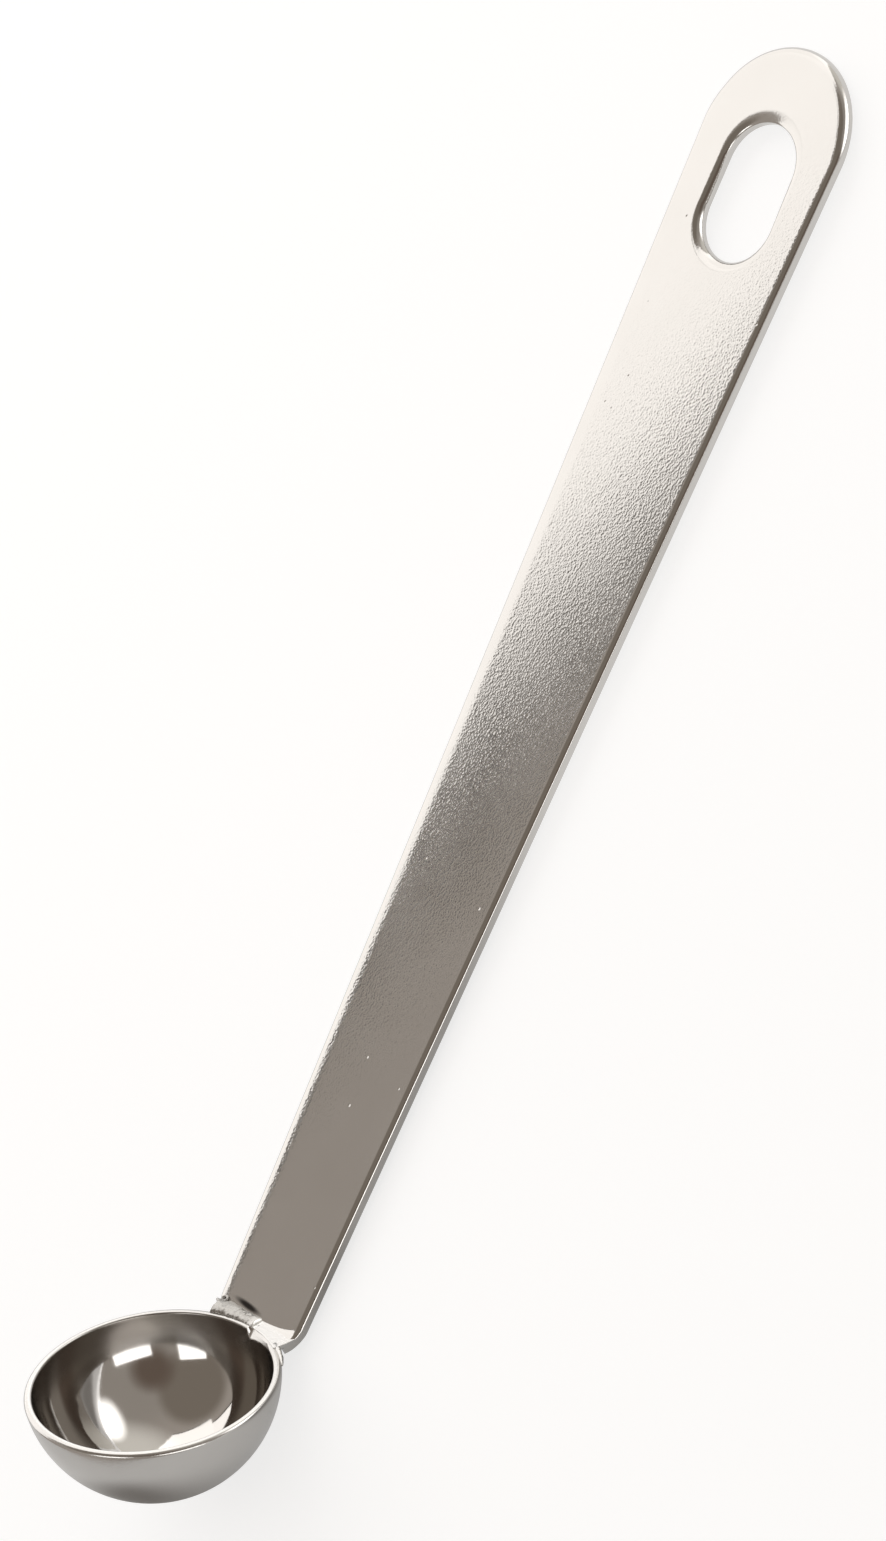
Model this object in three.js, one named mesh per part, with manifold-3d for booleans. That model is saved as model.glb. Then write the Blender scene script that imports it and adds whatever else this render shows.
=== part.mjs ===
// A mini ladle: a pressed round bowl, a flat tapered handle folded at its lower end, and the weld that
// joins them. Millimetres, +Z up. The ladle lies on its back: the handle is level along +X with its front
// face up, and the bowl's belly touches Z = 0.
import * as THREE from "three";
import { mergeVertices } from "three/addons/utils/BufferGeometryUtils.js";
import Module from "manifold-3d";

// Bowl: a round cap of a sphere with an even wall.
const RIM_DIAMETER = 30;
const BOWL_DEPTH = 13.8;
const BOWL_WALL = 1.0;
const RIM_OUTER_ROUND = 0.5;
const RIM_INNER_ROUND = 0.25;

// Handle: a strip measured from the line where its front meets the plane of the rim.
const HANDLE_LENGTH = 159.3;
const HANDLE_ROOT_WIDTH = 14.0;
const HANDLE_END_WIDTH = 22.2;
const HANDLE_THICKNESS = 1.4;
const HANDLE_ANGLE = THREE.MathUtils.degToRad(48.4);
const FOLD_STANDOFF = 0.9;
const FOLD_RADIUS = 2.0;
const TAB_TAPER = THREE.MathUtils.degToRad(8);

// Edges of the strip and its slot, as shares of the thickness: punched from the front, so rolled over there.
const FRONT_ROUND_SHARE = 0.8;
const BACK_ROUND_SHARE = 0.15;

// Hanging slot: round-ended, along the handle.
const SLOT_WIDTH = 10.9;
const SLOT_LENGTH = 16.8;
const SLOT_CENTRE_FROM_END = 17.8;

// Weld between the folded tab and the bowl's wall, with a rippled bead over half of it.
const SEAM_WIDTH = 0.6;
const SEAM_GAP = 0.1;
const BEAD_WIDTH = 1.5;
const BEAD_HEIGHT = 0.5;
const BEAD_RIPPLE = 0.12;
const BEAD_RIPPLE_PITCH = 0.8;
const BEAD_FADE = 0.1;
const FLUSH_HEIGHT = 0.06;

// Smoothness: steps on each kind of curve.
const BOWL_SIDES = 72;
const BOWL_ARC_STEPS = 14;
const ROUND_STEPS = 3;
const ROLL_STEPS = 6;
const FOLD_STEPS = 8;
const END_STEPS = 16;
const SEAM_STEPS = 48;
const BEAD_STEPS = 6;
const MERGE_DISTANCE = 1e-5;

const wasm = await Module();
wasm.setup();

// Sizes that follow from the ones above.
const rimRadius = RIM_DIAMETER / 2;
const sphereRadius = (rimRadius ** 2 + BOWL_DEPTH ** 2) / (2 * BOWL_DEPTH);
const sphereAboveRim = sphereRadius - BOWL_DEPTH;
const foldX = rimRadius + FOLD_STANDOFF;
const foldTangent = FOLD_RADIUS * Math.tan(HANDLE_ANGLE / 2);
const foldLength = (FOLD_RADIUS + HANDLE_THICKNESS / 2) * HANDLE_ANGLE;
const seamInner = rimRadius + SEAM_GAP;
const seamOuter = seamInner + SEAM_WIDTH;
const tabEndRadius = seamOuter + SEAM_GAP;
const frontRound = FRONT_ROUND_SHARE * HANDLE_THICKNESS;
const backRound = BACK_ROUND_SHARE * HANDLE_THICKNESS;
const seamHalf = HANDLE_ROOT_WIDTH / 2 - (foldLength + FOLD_STANDOFF) * Math.tan(TAB_TAPER) - backRound;

// Places in the lying frame: the belly rests on Z = 0, and X = 0 is halfway along the whole ladle.
const rimCentreZ = sphereRadius - sphereAboveRim * Math.cos(HANDLE_ANGLE);
const handleFrontZ = rimCentreZ - foldX * Math.sin(HANDLE_ANGLE);
const bellyReach = sphereRadius - sphereAboveRim * Math.sin(HANDLE_ANGLE);
const tipReach = foldX * Math.cos(HANDLE_ANGLE) + HANDLE_LENGTH;
const rimCentreX = (bellyReach - tipReach) / 2;
const handleStartX = rimCentreX + foldX * Math.cos(HANDLE_ANGLE) + foldTangent;

/** Points along an arc of a circle, both ends included. */
function arc(x, y, radius, from, to, steps) {
  return new THREE.EllipseCurve(x, y, radius, radius, from, to, to < from).getPoints(steps);
}

/** Merges equal vertices and drops the triangles that close up to a line. */
function welded(geometry) {
  geometry.deleteAttribute("normal");
  geometry.deleteAttribute("uv");
  const merged = mergeVertices(geometry, MERGE_DISTANCE);
  const kept = [];
  for (let i = 0; i < merged.index.count; i += 3) {
    const [a, b, c] = [0, 1, 2].map((k) => merged.index.getX(i + k));
    if (a !== b && b !== c && a !== c) kept.push(a, b, c);
  }
  merged.setIndex(kept);
  return merged;
}

/** A closed body through rings of points, capped. A ring turns to the left, seen back from the last one. */
function loft(rings) {
  const count = rings[0].length;
  const index = [];
  for (let r = 0; r + 1 < rings.length; r += 1) {
    for (let k = 0; k < count; k += 1) {
      const next = (k + 1) % count;
      const [a, b] = [r * count + k, r * count + next];
      index.push(a, b, b + count, a, b + count, a + count);
    }
  }
  const last = (rings.length - 1) * count;
  for (let k = 0; k + 1 < count / 2; k += 1) {
    const far = count - 1 - k;
    index.push(k, far, far - 1, k, far - 1, k + 1);
    index.push(last + k, last + far - 1, last + far, last + k, last + k + 1, last + far - 1);
  }
  const places = rings.flat().flatMap((p) => p.toArray());
  const geometry = new THREE.BufferGeometry();
  geometry.setAttribute("position", new THREE.Float32BufferAttribute(places, 3));
  geometry.setIndex(index);
  return welded(geometry);
}

/** A geometry as a solid that can be joined and cut. */
function solid(geometry) {
  const clean = welded(geometry);
  return new wasm.Manifold(
    new wasm.Mesh({
      numProp: 3,
      vertProperties: new Float32Array(clean.attributes.position.array),
      triVerts: new Uint32Array(clean.index.array),
    }),
  );
}

/** A solid as a geometry again. */
function geometryOf(body) {
  const mesh = body.getMesh();
  const geometry = new THREE.BufferGeometry();
  geometry.setAttribute("position", new THREE.BufferAttribute(mesh.vertProperties, 3));
  geometry.setIndex(new THREE.BufferAttribute(mesh.triVerts, 1));
  return geometry;
}

/** Points up a punched edge from back to front: how far each lies inside the outline, and its height. */
function edgeLevels() {
  const back = arc(backRound, backRound - HANDLE_THICKNESS, backRound, 1.5 * Math.PI, Math.PI, ROUND_STEPS);
  const front = arc(frontRound, -frontRound, frontRound, Math.PI, 0.5 * Math.PI, ROLL_STEPS);
  return [...back, ...front].map((p) => ({ inset: p.x, height: p.y }));
}

/** The bowl about its own axis, with the rim in the plane Z = 0. */
function bowlGeometry() {
  const innerRadius = sphereRadius - BOWL_WALL;
  const outerZ = -RIM_OUTER_ROUND - sphereAboveRim;
  const innerZ = -RIM_INNER_ROUND - sphereAboveRim;
  const outerX = Math.sqrt((sphereRadius - RIM_OUTER_ROUND) ** 2 - outerZ ** 2);
  const innerX = Math.sqrt((innerRadius + RIM_INNER_ROUND) ** 2 - innerZ ** 2);
  const outerAngle = Math.atan2(outerZ, outerX);
  const innerAngle = Math.atan2(innerZ, innerX);
  const profile = [
    ...arc(0, sphereAboveRim, sphereRadius, -Math.PI / 2, outerAngle, BOWL_ARC_STEPS),
    ...arc(outerX, -RIM_OUTER_ROUND, RIM_OUTER_ROUND, outerAngle, Math.PI / 2, ROUND_STEPS),
    ...arc(innerX, -RIM_INNER_ROUND, RIM_INNER_ROUND, Math.PI / 2, Math.PI + innerAngle, ROUND_STEPS),
    ...arc(0, sphereAboveRim, innerRadius, innerAngle, -Math.PI / 2, BOWL_ARC_STEPS),
  ];
  profile[0].x = 0;
  profile[profile.length - 1].x = 0;
  return welded(new THREE.LatheGeometry(profile, BOWL_SIDES).rotateX(Math.PI / 2));
}

/** Where a point of the flat strip goes when its lower end is folded up. */
function folded(along, across, height) {
  const turn = THREE.MathUtils.clamp(-along / foldLength, 0, 1) * HANDLE_ANGLE;
  const radius = FOLD_RADIUS - height;
  const straight = Math.max(along, 0);
  const tab = Math.max(-along - foldLength, 0);
  return new THREE.Vector3(
    handleStartX + straight - radius * Math.sin(turn) - tab * Math.cos(HANDLE_ANGLE),
    across,
    handleFrontZ + FOLD_RADIUS - radius * Math.cos(turn) + tab * Math.sin(HANDLE_ANGLE),
  );
}

/** The strip with its tapered sides, round end and fold, before its slot and its tab are cut. */
function stripGeometry() {
  const endRadius = HANDLE_END_WIDTH / 2;
  const rootHalf = HANDLE_ROOT_WIDTH / 2;
  const endCentre = HANDLE_LENGTH - foldTangent - endRadius;
  const reach = Math.hypot(rootHalf, endCentre);
  const taper = Math.atan2(endCentre, rootHalf) - Math.acos(endRadius / reach);
  const tabLength = foldLength + FOLD_STANDOFF + rootHalf;
  const sideAlongs = [-tabLength];
  for (let i = 0; i <= FOLD_STEPS; i += 1) sideAlongs.push(foldLength * (i / FOLD_STEPS - 1));
  const stations = sideAlongs.map((along) => ({
    along,
    half: rootHalf + along * (Math.tan(taper) + Math.tan(TAB_TAPER)),
    normal: new THREE.Vector2(-Math.sin(taper), Math.cos(taper)),
  }));
  for (let i = 0; i <= END_STEPS; i += 1) {
    const turn = -taper + (Math.PI / 2 + taper) * (i / END_STEPS);
    const normal = new THREE.Vector2(Math.sin(turn), i === END_STEPS ? 0 : Math.cos(turn));
    stations.push({ along: endCentre + endRadius * normal.x, half: endRadius * normal.y, normal });
  }
  const levels = edgeLevels();
  const rings = stations.map(({ along, half, normal }) => {
    const side = (sign) =>
      levels.map(({ inset, height }) =>
        folded(along - inset * normal.x, sign * (half - inset * normal.y), height),
      );
    return [...side(1), ...side(-1).reverse()];
  });
  return loft(rings);
}

/** What the hanging slot takes out of the strip: round-ended, and flared to leave rolled edges. */
function slotCutter() {
  const half = SLOT_WIDTH / 2;
  const reach = SLOT_LENGTH / 2 - half;
  const centreX = handleStartX - foldTangent + HANDLE_LENGTH - SLOT_CENTRE_FROM_END;
  const overshoot = HANDLE_THICKNESS;
  const levels = edgeLevels();
  const stretched = [
    { ...levels[0], height: levels[0].height - overshoot },
    ...levels,
    { ...levels[levels.length - 1], height: levels[levels.length - 1].height + overshoot },
  ];
  const rings = stretched.map(({ inset, height }) => {
    const radius = half + inset;
    const outline = [
      ...arc(centreX + reach, 0, radius, -Math.PI / 2, Math.PI / 2, END_STEPS),
      ...arc(centreX - reach, 0, radius, Math.PI / 2, 1.5 * Math.PI, END_STEPS),
    ];
    return outline.map((p) => new THREE.Vector3(p.x, p.y, handleFrontZ + height));
  });
  return loft(rings);
}

/** The round that the tab's end is cut to, upright on the rim. */
function tabEndCutter() {
  const height = 2 * HANDLE_ROOT_WIDTH;
  const cutter = new THREE.CylinderGeometry(tabEndRadius, tabEndRadius, height, BOWL_SIDES);
  return cutter.rotateX(Math.PI / 2).applyMatrix4(rimFrame.matrix);
}

/** The handle in the lying frame. */
function handleGeometry() {
  const strip = solid(stripGeometry());
  return geometryOf(strip.subtract(solid(slotCutter())).subtract(solid(tabEndCutter())));
}

/** The weld about the bowl's axis: a root between wall and tab, and a bead, rippled on one half. */
function weldGeometry() {
  const middle = (seamInner + seamOuter) / 2;
  const sweep = Math.asin(seamHalf / seamOuter);
  const rings = [];
  for (let i = 0; i <= SEAM_STEPS; i += 1) {
    const share = (2 * i) / SEAM_STEPS - 1;
    const angle = sweep * share;
    const left = THREE.MathUtils.smoothstep(share, -BEAD_FADE, BEAD_FADE);
    const ripple = BEAD_RIPPLE * Math.abs(Math.sin((Math.PI * angle * middle) / BEAD_RIPPLE_PITCH));
    const crown = THREE.MathUtils.lerp(FLUSH_HEIGHT, BEAD_HEIGHT - ripple, left);
    const half = SEAM_WIDTH / 2 + left * share ** 2 * (BEAD_WIDTH - SEAM_WIDTH) / 2;
    const dome = arc(0, 0, 1, Math.PI, 0, BEAD_STEPS);
    const section = [
      new THREE.Vector2(seamInner, -HANDLE_THICKNESS),
      new THREE.Vector2(seamInner, SEAM_GAP / 2),
      ...dome.map((p) => new THREE.Vector2(middle + half * p.x, SEAM_GAP + crown * p.y)),
      new THREE.Vector2(seamOuter, SEAM_GAP / 2),
      new THREE.Vector2(seamOuter, -HANDLE_THICKNESS),
    ];
    const [cos, sin] = [Math.cos(angle), Math.sin(angle)];
    rings.push(section.map((p) => new THREE.Vector3(p.x * cos, p.x * sin, p.y)));
  }
  return loft(rings);
}

const polishedSteel = new THREE.MeshStandardMaterial({ color: 0xc4c1bd, roughness: 0.08, metalness: 1 });
const satinSteel = new THREE.MeshStandardMaterial({ color: 0xbab6b1, roughness: 0.3, metalness: 1 });
const weldSteel = new THREE.MeshStandardMaterial({ color: 0xa5a29e, roughness: 0.35, metalness: 1 });

/** A named piece of the ladle. */
function piece(name, geometry, material) {
  const mesh = new THREE.Mesh(geometry, material);
  mesh.name = name;
  return mesh;
}

// The rim's own frame: its plane leans so that the handle lies level.
const rimFrame = new THREE.Group();
rimFrame.position.set(rimCentreX, 0, rimCentreZ);
rimFrame.rotation.y = HANDLE_ANGLE;
rimFrame.updateMatrix();
rimFrame.add(piece("bowl", bowlGeometry(), polishedSteel));
rimFrame.add(piece("weld_seam", weldGeometry(), weldSteel));

const ladle = new THREE.Group();
ladle.name = "mini_ladle";
ladle.add(rimFrame);
ladle.add(piece("handle", handleGeometry(), satinSteel));

export default ladle;
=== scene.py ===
"""Dresses the mini ladle: a mirror-polished bowl, a satin strip handle and the weld that joins them."""

import logging
import math
from dataclasses import dataclass, field
from enum import Enum
from typing import NamedTuple

import bmesh
import bpy
from mathutils import Matrix, Vector


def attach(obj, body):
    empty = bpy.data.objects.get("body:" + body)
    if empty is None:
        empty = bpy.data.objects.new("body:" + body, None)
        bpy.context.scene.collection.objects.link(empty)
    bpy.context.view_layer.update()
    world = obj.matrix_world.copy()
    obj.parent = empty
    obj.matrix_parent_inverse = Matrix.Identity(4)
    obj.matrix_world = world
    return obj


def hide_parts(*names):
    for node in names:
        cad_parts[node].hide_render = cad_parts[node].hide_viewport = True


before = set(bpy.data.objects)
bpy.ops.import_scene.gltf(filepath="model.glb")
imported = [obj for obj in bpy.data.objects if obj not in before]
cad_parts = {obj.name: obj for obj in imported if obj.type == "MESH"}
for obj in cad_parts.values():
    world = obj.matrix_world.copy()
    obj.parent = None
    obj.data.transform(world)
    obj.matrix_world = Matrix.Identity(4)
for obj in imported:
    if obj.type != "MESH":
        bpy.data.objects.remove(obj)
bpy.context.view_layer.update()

Colour = tuple[float, float, float]
Weights = tuple[float, float, float]
Point2 = tuple[float, float]
Socket = bpy.types.NodeSocket
Vert = bmesh.types.BMVert

MM: float = 0.001
# Points nearer than this are one point.
MERGE: float = 0.001 * MM
# Most of a noise lies between these values.
NOISE_SPAN: Point2 = (0.3, 0.7)
# How far the top of the rim counts as the bowl's inside.
RIM_INSIDE: float = 0.6
LOG = logging.getLogger("mini_ladle")


class Node(Enum):
    """The CAD nodes that the dressed pieces stand for."""

    BOWL = "bowl"
    HANDLE = "handle"
    WELD = "weld_seam"


class Slot(Enum):
    """The record's material slots."""

    POLISHED = "polished_steel"
    SATIN = "satin_steel"
    WELD = "weld_steel"


class Ray(Enum):
    """The rays that a sheet of the stage can be hidden from."""

    CAMERA = "visible_camera"
    DIFFUSE = "visible_diffuse"
    SHADOW = "visible_shadow"


@dataclass(frozen=True)
class LadleSizes:
    """The ladle's driving sizes in metres, and the places that follow from them."""

    rim_diameter: float = 30.0 * MM
    bowl_depth: float = 13.8 * MM
    bowl_wall: float = 1.0 * MM
    rim_outer_round: float = 0.5 * MM
    rim_inner_round: float = 0.25 * MM
    handle_length: float = 159.3 * MM
    root_width: float = 14.0 * MM
    end_width: float = 22.2 * MM
    thickness: float = 1.4 * MM
    front_round_share: float = 0.8
    back_round_share: float = 0.15
    angle: float = math.radians(48.4)
    fold_standoff: float = 0.9 * MM
    fold_radius: float = 2.0 * MM
    tab_taper: float = math.radians(8.0)
    slot_width: float = 10.9 * MM
    slot_length: float = 16.8 * MM
    slot_from_end: float = 17.8 * MM
    seam_width: float = 0.6 * MM
    seam_gap: float = 0.1 * MM

    @property
    def rim_radius(self) -> float:
        """The rim's outer radius."""
        return self.rim_diameter / 2

    @property
    def sphere_radius(self) -> float:
        """The radius of the bowl's outside."""
        return (self.rim_radius**2 + self.bowl_depth**2) / (2 * self.bowl_depth)

    @property
    def sphere_above_rim(self) -> float:
        """How far the bowl's centre of curvature lies above the rim."""
        return self.sphere_radius - self.bowl_depth

    @property
    def fold_x(self) -> float:
        """Where the handle's front meets the rim's plane, from the rim's centre."""
        return self.rim_radius + self.fold_standoff

    @property
    def fold_tangent(self) -> float:
        """From that corner to where the fold starts."""
        return self.fold_radius * math.tan(self.angle / 2)

    @property
    def fold_length(self) -> float:
        """The length of strip inside the fold, along its middle."""
        return (self.fold_radius + self.thickness / 2) * self.angle

    @property
    def seam_radius(self) -> float:
        """The middle of the weld, from the bowl's axis."""
        return self.rim_radius + self.seam_gap + self.seam_width / 2

    @property
    def tab_end_radius(self) -> float:
        """The round that the tab's end is cut to."""
        return self.rim_radius + 2 * self.seam_gap + self.seam_width

    @property
    def front_round(self) -> float:
        """The roll of the strip's edges at the front."""
        return self.front_round_share * self.thickness

    @property
    def back_round(self) -> float:
        """The small round of the strip's edges at the back."""
        return self.back_round_share * self.thickness

    @property
    def seam_half(self) -> float:
        """Half the width of the tab where the weld meets it."""
        drawn_in = (self.fold_length + self.fold_standoff) * math.tan(self.tab_taper)
        return self.root_width / 2 - drawn_in - self.back_round

    @property
    def rim_centre(self) -> Vector:
        """The rim's centre, with the belly on the floor and the origin under the ladle's middle.

        Returns:
            The place.
        """
        belly = self.sphere_radius - self.sphere_above_rim * math.sin(self.angle)
        tip = self.fold_x * math.cos(self.angle) + self.handle_length
        height = self.sphere_radius - self.sphere_above_rim * math.cos(self.angle)
        return Vector(((belly - tip) / 2, 0.0, height))

    @property
    def bowl_rest(self) -> Vector:
        """Where the bowl's belly rests on the floor."""
        centre = self.rim_frame @ Vector((0.0, 0.0, self.sphere_above_rim))
        return Vector((centre.x, centre.y, 0.0))

    @property
    def rim_frame(self) -> Matrix:
        """The rim's own frame: Z along the bowl's axis, X towards the handle."""
        return Matrix.Translation(self.rim_centre) @ Matrix.Rotation(self.angle, 4, "Y")

    @property
    def handle_front(self) -> float:
        """The height of the handle's front face."""
        return self.rim_centre.z - self.fold_x * math.sin(self.angle)

    @property
    def handle_start(self) -> float:
        """Where the straight part of the handle starts, along X."""
        return self.rim_centre.x + self.fold_x * math.cos(self.angle) + self.fold_tangent


def new_material(name: str) -> bpy.types.Material:
    """A new material with nodes.

    Args:
        name: The material's name.

    Returns:
        The material.
    """
    made = bpy.data.materials.new(name)
    made.use_nodes = True
    return made


class NodeGraph:
    """A node tree, with short calls for the steps that the shaders and the weld share."""

    def __init__(self, tree: bpy.types.NodeTree) -> None:
        """Takes a tree to add to."""
        self.tree = tree

    def feed(self, socket: Socket, value: object) -> None:
        """Links a socket, or sets its value.

        Args:
            socket: The input.
            value: An output to link, or a plain value.
        """
        if isinstance(value, Socket):
            self.tree.links.new(value, socket)
        else:
            socket.default_value = value

    def node(
        self, kind: str, inputs: dict[object, object] | None = None, **settings: object
    ) -> bpy.types.Node:
        """Adds a node.

        Args:
            kind: The node's type name.
            inputs: For each input's name or number, an output to link or a value.
            settings: Properties to set on the node.

        Returns:
            The node.
        """
        made = self.tree.nodes.new(kind)
        for key, value in settings.items():
            setattr(made, key, value)
        for key, value in (inputs or {}).items():
            self.feed(made.inputs[key], value)
        return made

    def math(self, operation: str, *values: object) -> Socket:
        """One step of arithmetic."""
        return self.node("ShaderNodeMath", dict(enumerate(values)), operation=operation).outputs[0]

    def plus(self, *values: object) -> Socket:
        """The sum of two values."""
        return self.math("ADD", *values)

    def less(self, *values: object) -> Socket:
        """The first value less the second."""
        return self.math("SUBTRACT", *values)

    def times(self, *values: object) -> Socket:
        """The product of two values."""
        return self.math("MULTIPLY", *values)

    def over(self, *values: object) -> Socket:
        """The first value divided by the second."""
        return self.math("DIVIDE", *values)

    def spread(
        self,
        value: object,
        low: float,
        high: float,
        to_low: object,
        to_high: object,
        step: str = "SMOOTHSTEP",
    ) -> Socket:
        """Maps a range to another, with both ends held.

        Args:
            value: What is mapped.
            low: The start of its range.
            high: The end of its range.
            to_low: The result at the start.
            to_high: The result at the end.
            step: How the result runs between them.

        Returns:
            The mapped value.
        """
        names = ("Value", "From Min", "From Max", "To Min", "To Max")
        inputs = dict(zip(names, (value, low, high, to_low, to_high)))
        return self.node("ShaderNodeMapRange", inputs, interpolation_type=step).outputs["Result"]


class ShaderGraph(NodeGraph):
    """A shader's node tree, with the patterns and places that the ladle and its studio need."""

    def __init__(self, tree: bpy.types.NodeTree, coordinates: str = "Object") -> None:
        """Starts an empty tree.

        Args:
            tree: The tree of a material or of the world.
            coordinates: Which texture coordinates its patterns lie on.
        """
        super().__init__(tree)
        tree.nodes.clear()
        self.place = self.node("ShaderNodeTexCoord").outputs[coordinates]

    def noise(self, size: float, detail: float = 2.0, place: Socket | None = None) -> Socket:
        """A noise about 0.5 with lumps of a size, on the object's own coordinates if no others are given."""
        inputs = {"Vector": place or self.place, "Scale": 1.0 / size, "Detail": detail}
        return self.node("ShaderNodeTexNoise", inputs).outputs["Fac"]

    def spots(self, spacing: float) -> Socket:
        """The distance to the nearest of scattered points, in units of their spacing."""
        inputs = {"Vector": self.place, "Scale": 1.0 / spacing}
        return self.node("ShaderNodeTexVoronoi", inputs).outputs["Distance"]

    def attribute(self, name: str, output: str = "Fac") -> Socket:
        """Reads one of the piece's own attributes."""
        return self.node("ShaderNodeAttribute", attribute_name=name).outputs[output]

    def vary(self, noise: Socket, value: float, span: Point2) -> Socket:
        """A value times the first of a span where a noise is low, and times the second where it is high."""
        return self.spread(noise, *NOISE_SPAN, value * span[0], value * span[1])

    def mix(self, share: object, first: object, second: object) -> Socket:
        """Mixes two colours.

        Args:
            share: How much of the second.
            first: The first colour, or an output that gives it.
            second: The second colour, or an output that gives it.

        Returns:
            The mixed colour.
        """
        a, b = (given if isinstance(given, Socket) else (*given, 1.0) for given in (first, second))
        made = self.node("ShaderNodeMix", {"Factor": share, "A": a, "B": b}, data_type="RGBA")
        return made.outputs["Result"]

    def bump(self, height: Socket, depth: object, under: Socket | None = None) -> Socket:
        """Raises a pattern from the surface.

        Args:
            height: The pattern.
            depth: Its height in metres.
            under: A normal that it lies on.

        Returns:
            The normal.
        """
        inputs = {"Strength": 1.0, "Distance": depth, "Height": height}
        if under is not None:
            inputs["Normal"] = under
        return self.node("ShaderNodeBump", inputs).outputs["Normal"]

    def along(self, way: Vector) -> Socket:
        """How far the place lies along a way."""
        made = self.node("ShaderNodeVectorMath", {0: self.place, 1: way}, operation="DOT_PRODUCT")
        return made.outputs["Value"]

    def away(self, point: Vector, weights: Weights = (1.0, 1.0, 1.0)) -> Socket:
        """The distance from a point.

        Args:
            point: The point.
            weights: How much each axis counts.

        Returns:
            The distance.
        """
        weighed = self.node("ShaderNodeVectorMath", {0: self.place, 1: weights}, operation="MULTIPLY")
        inputs = {0: weighed.outputs["Vector"], 1: [p * w for p, w in zip(point, weights)]}
        return self.node("ShaderNodeVectorMath", inputs, operation="DISTANCE").outputs["Value"]

    def oval(self, centre: Vector, way: Vector, reach: Point2) -> Socket:
        """How far out of a flat oval the place lies.

        Args:
            centre: The oval's centre.
            way: The way of its long axis, level.
            reach: Half its length along that way, and half its width.

        Returns:
            0 at the centre, 1 at the outline.
        """
        parts = []
        for axis, half in zip((way, Vector((-way.y, way.x, 0.0))), reach):
            part = self.less(self.along(axis / half), centre.dot(axis) / half)
            parts.append(self.times(part, part))
        return self.math("SQRT", self.plus(*parts))

    def surface(self, shader: bpy.types.Node, output: str = "ShaderNodeOutputMaterial") -> None:
        """Sends a shader to the tree's output."""
        self.node(output, {"Surface": shader.outputs[0]})

    def glow_over(self, strength: Socket, under: bpy.types.Node) -> None:
        """Sends a white glow to the tree's output, added to another shader."""
        glow = self.node("ShaderNodeEmission", {"Strength": strength})
        self.surface(self.node("ShaderNodeAddShader", {0: under.outputs[0], 1: glow.outputs[0]}))


class SteelGraph(ShaderGraph):
    """A steel's material, with one metallic Principled shader."""

    def __init__(self, name: str) -> None:
        """Starts a material that holds only its shader and its output.

        Args:
            name: The material's name.
        """
        self.material = new_material(name)
        super().__init__(self.material.node_tree)
        self.shader = self.node("ShaderNodeBsdfPrincipled", {"Metallic": 1.0})
        self.surface(self.shader)

    def set(self, socket: str, value: object) -> None:
        """Feeds one of the shader's sockets."""
        self.feed(self.shader.inputs[socket], value)


@dataclass(frozen=True)
class PolishedSteel:
    """Pressed steel: a mirror with faint drawing streaks inside, with painted shade under the rim, and a fine
    satin outside.
    """

    name: str = "polished_steel"
    colour: Colour = (0.60, 0.585, 0.565)
    deep_colour: Colour = (0.60, 0.58, 0.555)
    shade: float = 0.92
    mirror_roughness: float = 0.07
    mirror_span: Point2 = (0.7, 1.4)
    satin_roughness: float = 0.2
    satin_span: Point2 = (0.85, 1.15)
    mottle_size: float = 5.0 * MM
    grain_size: float = 0.3 * MM
    grain_height: float = 0.006 * MM
    wave_size: float = 1.6 * MM
    wave_height: float = 0.003 * MM
    streak_height: float = 0.004 * MM
    streaks_round: float = 9.0
    # Painted shade: the inside is darker in a band under the rim, which is also rougher.
    rim_band_shade_colour: Colour = (0.34, 0.32, 0.30)
    wall_roughness: float = 0.2
    wall_span: Point2 = (-0.34, -0.14)

    def material(self) -> bpy.types.Material:
        """Builds the material.

        Returns:
            The material.
        """
        graph = SteelGraph(self.name)
        inside = graph.attribute("inside")
        draw = graph.attribute("draw", "Vector")
        mottle = graph.noise(self.mottle_size, detail=4.0)
        grain = graph.noise(self.grain_size, detail=3.0)
        height = graph.node("ShaderNodeSeparateXYZ", {0: draw}).outputs["Z"]
        # Under the rim the inside is painted darker, as shade, and made rougher.
        near_rim = graph.spread(height, *self.wall_span, 0.0, 1.0)
        inner = graph.mix(near_rim, self.deep_colour, self.rim_band_shade_colour)
        outer = graph.mix(mottle, tuple(self.shade * c for c in self.colour), self.colour)
        graph.set("Base Color", graph.mix(graph.spread(inside, RIM_INSIDE, 1.0, 0.0, 1.0), outer, inner))
        satin = graph.vary(grain, self.satin_roughness, self.satin_span)
        mirror = graph.vary(mottle, self.mirror_roughness, self.mirror_span)
        wall = graph.spread(near_rim, 0.0, 1.0, mirror, self.wall_roughness)
        graph.set("Roughness", graph.spread(inside, 0.0, 1.0, satin, wall))
        drawn_out = {"Vector": draw, "Scale": (self.streaks_round, self.streaks_round, 1.0)}
        around = graph.node("ShaderNodeMapping", drawn_out).outputs["Vector"]
        streak = graph.noise(1.0, detail=4.0, place=around)
        pressed = graph.bump(graph.noise(self.wave_size, detail=1.0), self.wave_height)
        drawn = graph.bump(streak, self.streak_height, pressed)
        grained = graph.spread(inside, 0.0, 1.0, self.grain_height, 0.0)
        graph.set("Normal", graph.bump(grain, grained, drawn))
        return graph.material


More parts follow.
